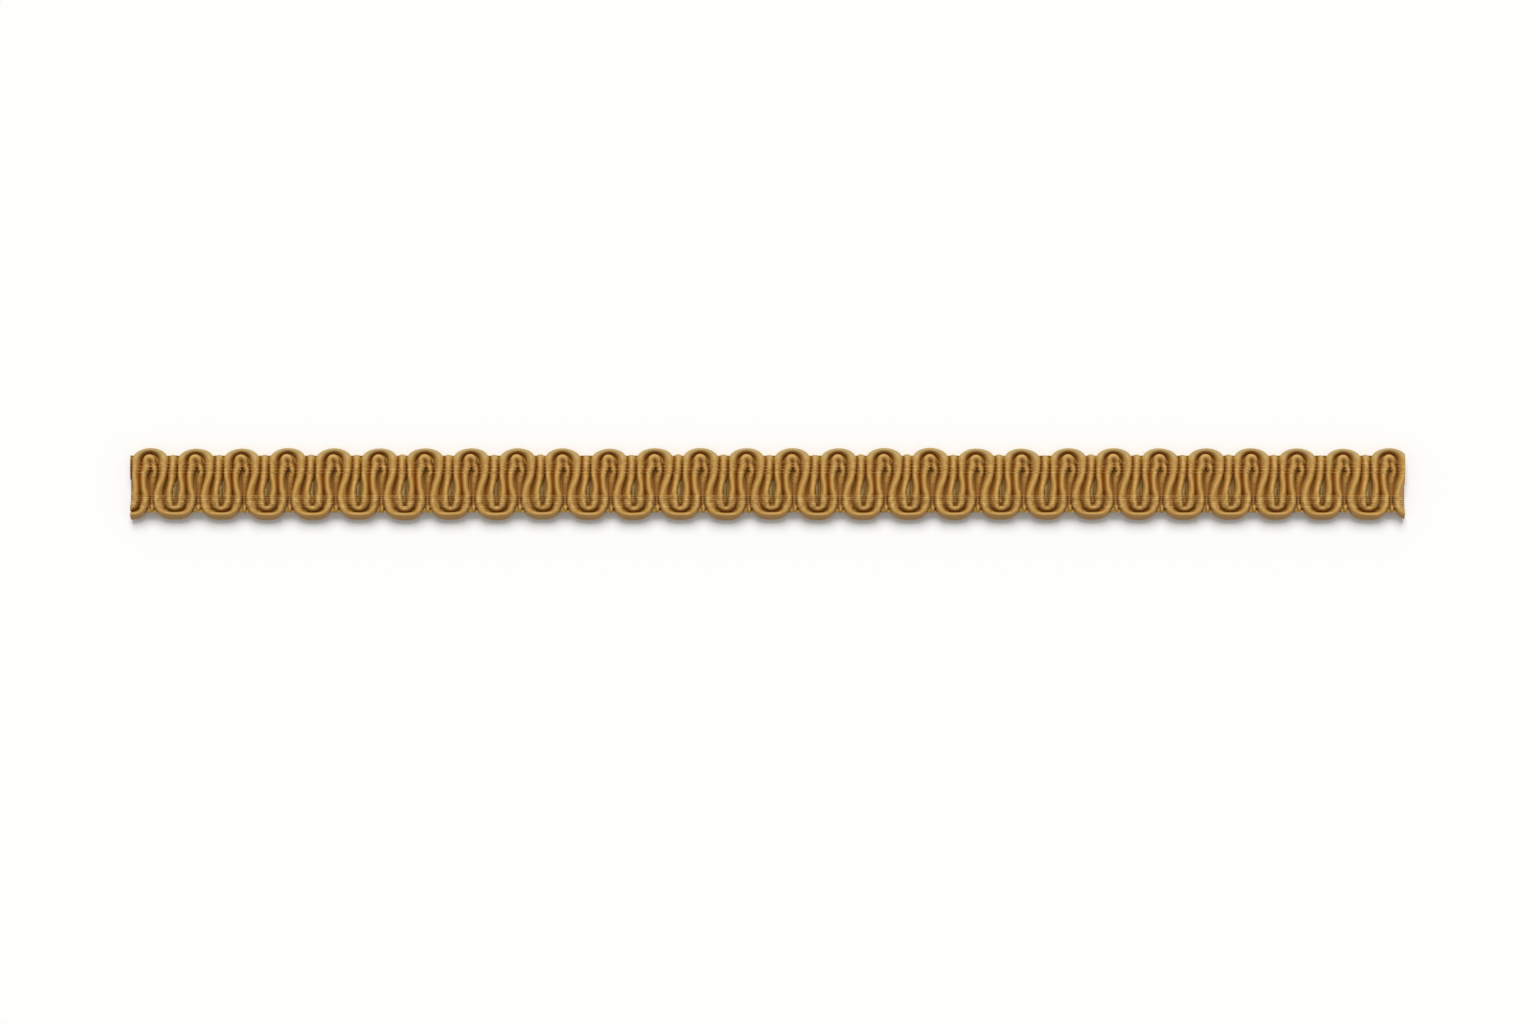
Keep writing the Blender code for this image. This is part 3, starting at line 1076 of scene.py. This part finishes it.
def flat_tubes(tree, given, yarns):
    """Round tubes along the yarns, pressed to their thickness."""
    add = partial(add_node, tree)
    x, y, z = add("ShaderNodeSeparateXYZ", [add("GeometryNodeInputPosition")]).outputs
    lines = add("GeometryNodeMeshToCurve", [yarns])
    lines = add("GeometryNodeStoreNamedAttribute:FLOAT", {"Geometry": lines, "Name": "core", "Value": z})
    radius = add("ShaderNodeMath:MULTIPLY", [given["Width"], 0.5])
    ring = add("GeometryNodeCurvePrimitiveCircle", {"Resolution": YARN_SIDES, "Radius": radius})
    tubes = add("GeometryNodeCurveToMesh", {"Curve": lines, "Profile Curve": ring, "Fill Caps": True})
    core = add("GeometryNodeInputNamedAttribute:FLOAT", ["core"])
    squash = add("ShaderNodeMath:DIVIDE", [given["Thickness"], given["Width"]])
    height = add("ShaderNodeMath:SUBTRACT", [z, core])
    height = add("ShaderNodeMath:MULTIPLY_ADD", [height, squash, core])
    target = add("ShaderNodeCombineXYZ", [x, y, height])
    return add("GeometryNodeSetPosition", {"Geometry": tubes, "Position": target})


def band_tree(band):
    """Parallel yarns that lie over the cords and bridge the gaps between them."""
    sizes = {"Length": TRIM_LENGTH, "First Across": band.first, "Spacing": band.spacing}
    sizes.update({"Width": band.width, "Thickness": YARN_THICKNESS})
    sizes = {name: size * MM for name, size in sizes.items()}
    counts = {"Yarns": band.yarns, "Pull": band.pull}
    inputs = {"Start": "Geometry", **sizes, **counts, "Cords": "Collection", "Finish": "Material"}
    tree, given = begin_tree("lay_binding_yarns", inputs, "Band")
    add = partial(add_node, tree)
    laid = add("GeometryNodeRealizeInstances", [add("GeometryNodeCollectionInfo", [given["Cords"]])])
    left = add("ShaderNodeMath:MULTIPLY", [given["Length"], -0.5])
    start = add("ShaderNodeCombineXYZ", [left, given["First Across"], ABOVE_BRAID * MM])
    down = add("ShaderNodeMath:MULTIPLY", [given["Spacing"], -1.0])
    down = add("ShaderNodeCombineXYZ", {"Y": down})
    starts = add("GeometryNodeMeshLine", [given["Yarns"], start, down])
    count = round(TRIM_LENGTH / YARN_STEP) + 1
    step = add("ShaderNodeMath:DIVIDE", [given["Length"], count - 1.0])
    step = add("ShaderNodeCombineXYZ", {"X": step})
    yarn = add("GeometryNodeMeshLine", {"Count": count, "Offset": step})
    yarns = add("GeometryNodeInstanceOnPoints", {"Points": starts, "Instance": yarn})
    yarns = add("GeometryNodeRealizeInstances", [yarns])
    yarns = dropped_yarns(tree, given, yarns, laid)
    return end_tree(tree, flat_tubes(tree, given, yarns), given["Finish"], spent=["core"])


print("The yarns are", YARN_THICKNESS, "mm thick")

# %% [markdown]
# One tree serves both bands: its inputs say where the first yarn lies, how far apart the yarns are, how
# many there are and how hard they are pulled. The yarns lie on the tape too, so it joins the cords.

# %% Lay the two bands
laid_cords.objects.link(tape)
binding_tree = band_tree(BANDS[0])
bands = []
for band in BANDS:
    values = {
        "First Across": band.first * MM,
        "Spacing": band.spacing * MM,
        "Width": band.width * MM,
        "Yarns": band.yarns,
        "Pull": band.pull,
        "Cords": laid_cords,
        "Finish": binding_finish,
    }
    mesh = node_result(band.name, bpy.data.meshes.new(band.name + "_start"), binding_tree, values)
    bands.append(add_object(band.name, mesh))
print([(band.name, len(band.data.polygons)) for band in bands])

# %% [markdown]
# Last, each piece is tied to the frame. It rides on the part's one body and stands for its plain CAD solid.

# %% Tie the pieces to the frame
bpy.data.collections.remove(laid_cords)
for number, cord in enumerate(cords):
    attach(cord, "root")
    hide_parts(f"cord_run_{number:02d}")
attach(tape, "root")
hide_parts("ground_tape")
for band in bands:
    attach(band, "root")
